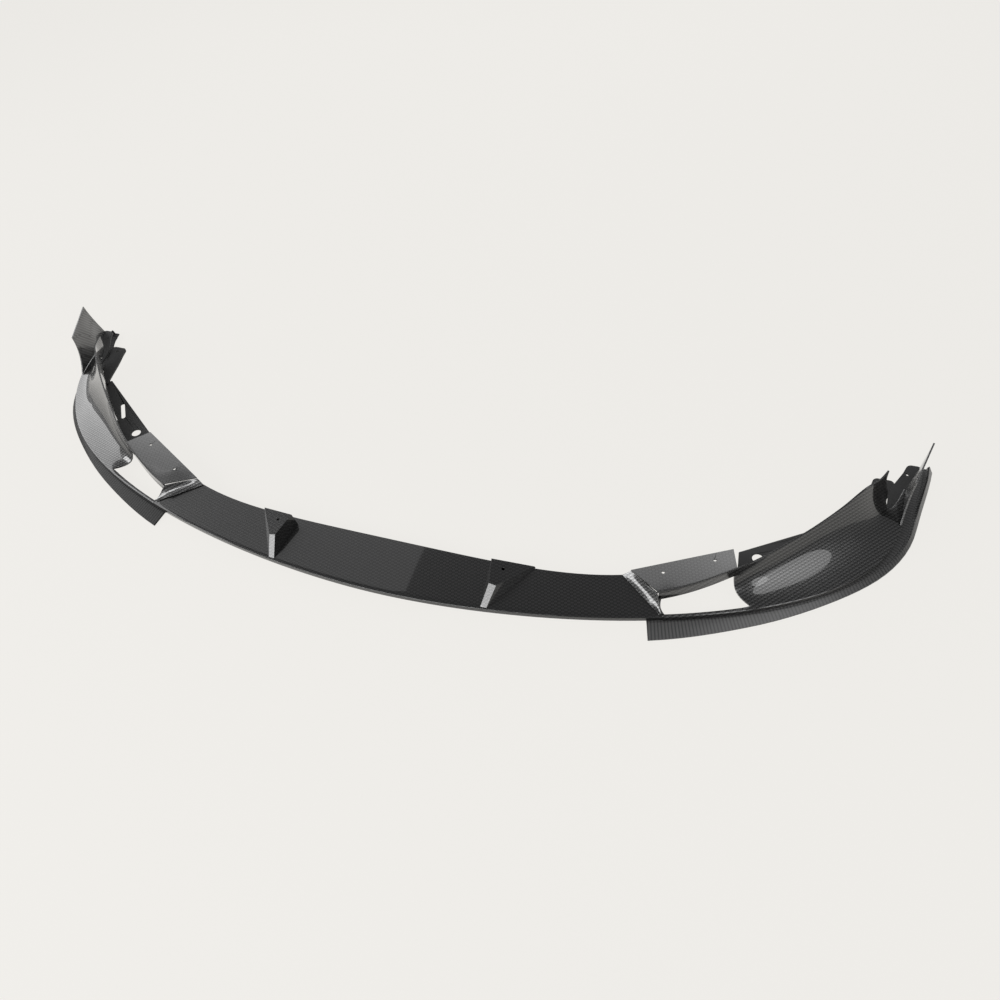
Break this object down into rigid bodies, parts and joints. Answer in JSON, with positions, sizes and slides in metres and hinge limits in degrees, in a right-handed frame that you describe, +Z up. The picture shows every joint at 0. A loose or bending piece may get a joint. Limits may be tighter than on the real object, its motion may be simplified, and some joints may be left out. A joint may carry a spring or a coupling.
{
  "type": "front splitter lip",
  "caption": "Wide low front lip: a thin centre blade with screw ribs, swept side shells with air openings, end fins, and strips below that it rests on.",
  "frame": {"origin": "centre of the bounding box in plan, on the ground that the two lower strips rest on", "axes": "+Z up; the nose faces -Y; +X is the end that the names call right"},
  "size_m": [1.8864, 0.543, 0.144],
  "materials": {
    "clear_coated_carbon": "gloss clear coat over a fine carbon weave",
    "strip_carbon": "satin gloss carbon weave, lines across the strip",
    "matt_black_laminate": "matt black raw laminate"
  },
  "bodies": {
    "root": {"centre_blade": "clear_coated_carbon", "screw_rib_left": "clear_coated_carbon", "screw_rib_right": "clear_coated_carbon", "corner_riser_left": "clear_coated_carbon", "corner_riser_right": "clear_coated_carbon", "side_shell_left": "clear_coated_carbon", "side_shell_right": "clear_coated_carbon", "screw_flange_left": "clear_coated_carbon", "screw_flange_right": "clear_coated_carbon", "inner_flange_left": "matt_black_laminate", "inner_flange_right": "matt_black_laminate", "upper_arch_tab_left": "matt_black_laminate", "upper_arch_tab_right": "matt_black_laminate", "lower_arch_tab_left": "matt_black_laminate", "lower_arch_tab_right": "matt_black_laminate", "end_fin_left": "clear_coated_carbon", "end_fin_right": "clear_coated_carbon", "middle_blade_left": "strip_carbon", "middle_blade_right": "strip_carbon", "lower_strip_left": "strip_carbon", "lower_strip_right": "strip_carbon"}
  },
  "joints": []
}
